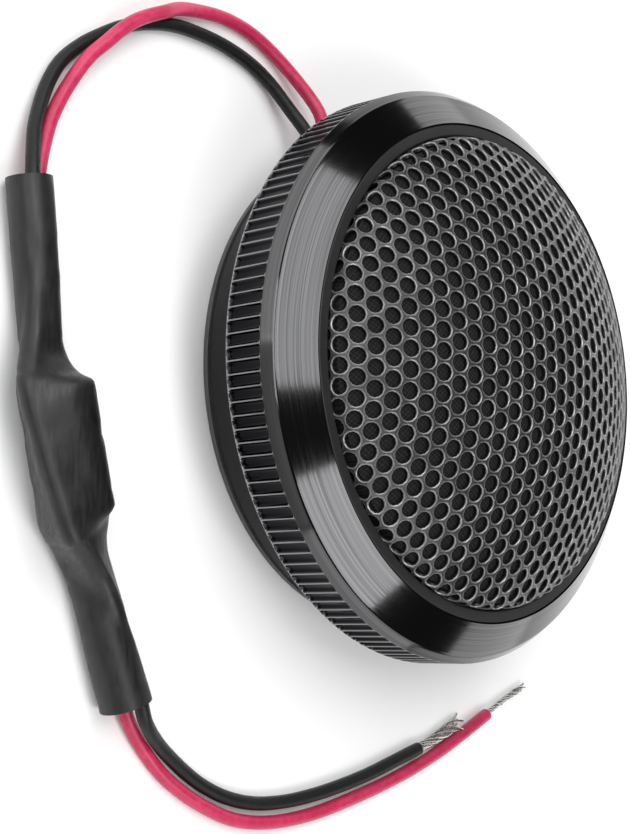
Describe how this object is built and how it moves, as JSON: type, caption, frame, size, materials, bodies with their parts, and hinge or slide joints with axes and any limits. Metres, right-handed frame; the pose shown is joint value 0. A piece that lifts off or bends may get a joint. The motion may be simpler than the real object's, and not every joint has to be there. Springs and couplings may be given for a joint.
{
  "type": "car tweeter",
  "caption": "Round dome tweeter with a knurled bevelled bezel, domed perforated grille, rear cup and two leads through a heat-shrunk in-line capacitor to bare ends.",
  "frame": {"origin": "centre of the rear cover's flat face, with the tweeter lying on its back", "axes": "+Z along the sound axis, out through the grille; the leads leave the rear cup at 116 degrees from +X and lie on the plane Z = 0"},
  "size_m": [0.0817, 0.0825, 0.024],
  "materials": {
    "bezel_aluminium": "black anodised, diamond-turned bevel",
    "lip_abs": "matt moulded black",
    "grille_steel": "black coated perforated sheet",
    "acoustic_cloth": "woven black cloth",
    "cup_abs": "moulded black",
    "screw_steel": "black zinc",
    "frame_abs": "moulded black",
    "motor_steel": "zinc plated",
    "magnet_nickel": "nickel plated",
    "felt": "pressed wool felt",
    "former_film": "amber polyimide film",
    "coil_copper": "enamelled copper wire",
    "dome_silk": "coated silk",
    "terminal_brass": "tinned brass",
    "grommet_rubber": "moulded black rubber",
    "red_pvc": "extruded red PVC",
    "black_pvc": "extruded black PVC",
    "heat_shrink": "shrunk polyolefin tube",
    "capacitor_jacket": "shrunk film jacket",
    "tinned_copper": "tinned copper"
  },
  "bodies": {
    "tweeter": {"bezel_ring": "bezel_aluminium", "grille_frame": "lip_abs", "grille_mesh": "grille_steel", "grille_cloth": "acoustic_cloth", "grille_clamp_ring": "frame_abs", "rear_cup": "cup_abs", "rear_cover": "cup_abs", "cable_grommet": "grommet_rubber", "cover_screw_1": "screw_steel", "cover_screw_2": "screw_steel", "cover_screw_3": "screw_steel", "frame_screw_1": "screw_steel", "frame_screw_2": "screw_steel", "frame_screw_3": "screw_steel", "driver_frame": "frame_abs", "yoke_cup": "motor_steel", "magnet": "magnet_nickel", "top_plate": "motor_steel", "damping_felt": "felt", "surround": "dome_silk", "surround_ring": "frame_abs", "red_tinsel_lead": "coil_copper", "red_terminal_tab": "terminal_brass", "red_inner_lead": "red_pvc", "black_tinsel_lead": "coil_copper", "black_terminal_tab": "terminal_brass", "black_inner_lead": "black_pvc", "heat_shrink_sleeve": "heat_shrink", "capacitor": "capacitor_jacket", "upper_capacitor_wire": "tinned_copper", "lower_capacitor_wire": "tinned_copper", "red_lead": "red_pvc", "black_lead": "black_pvc", "red_tail": "red_pvc", "black_strands": "tinned_copper", "red_strands": "tinned_copper"},
    "diaphragm": {"voice_coil_former": "former_film", "voice_coil": "coil_copper", "dome_diaphragm": "dome_silk"}
  },
  "joints": [
    {"name": "diaphragm_travel", "type": "slide", "parent": "tweeter", "child": "diaphragm", "axis": [0, 0, 1], "range_m": [-0.0005, 0.0005], "stiffness_N_per_m": 1000, "deforming": ["surround", "red_tinsel_lead", "black_tinsel_lead"]}
  ]
}
